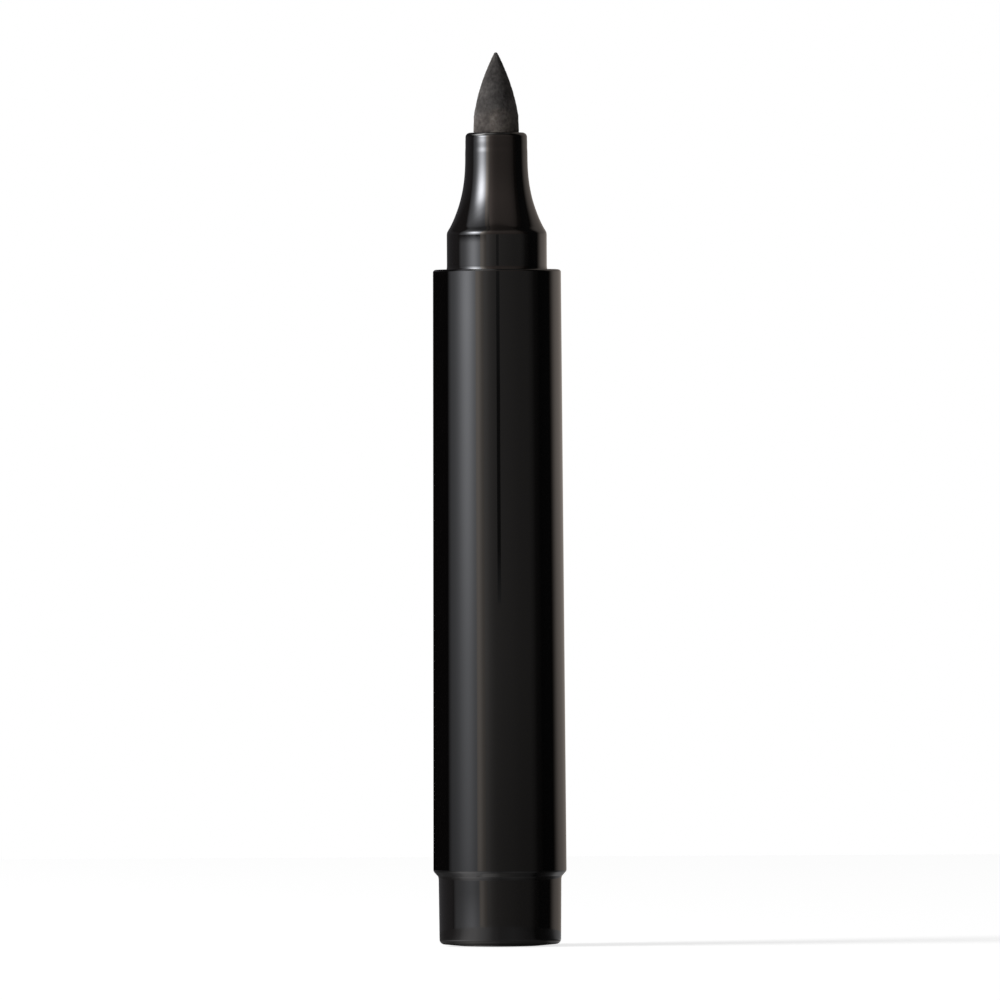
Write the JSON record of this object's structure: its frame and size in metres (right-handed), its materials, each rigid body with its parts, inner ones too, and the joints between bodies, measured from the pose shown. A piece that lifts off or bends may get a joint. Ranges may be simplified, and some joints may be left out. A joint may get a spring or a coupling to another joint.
{
  "type": "felt-tip liquid eyeliner pen",
  "caption": "Slim tube with a shouldered collar, a flared neck holding a pointed felt nib, and a plugged tail; a fibre ink cartridge lies inside.",
  "frame": {"origin": "middle of the tail plug's flat end face, which the pen stands on", "axes": "+Z along the pen's axis from the tail to the nib; the pen is round about Z"},
  "size_m": [0.0146, 0.0146, 0.0983],
  "materials": {
    "plug_plastic": "black polypropylene, moulded, semi-gloss",
    "barrel_plastic": "black plastic, moulded, high gloss",
    "reservoir_fibre": "polyester fibre rod, soaked with black ink",
    "wrap_film": "thin clear polypropylene film",
    "section_plastic": "black polypropylene, moulded, polished",
    "nib_felt": "bonded fibre felt, ground to a point, stained by black ink"
  },
  "bodies": {
    "root": {"tail_plug": "plug_plastic", "barrel": "barrel_plastic", "ink_core": "reservoir_fibre", "core_film": "wrap_film", "front_section": "section_plastic", "nib": "nib_felt"}
  },
  "joints": []
}
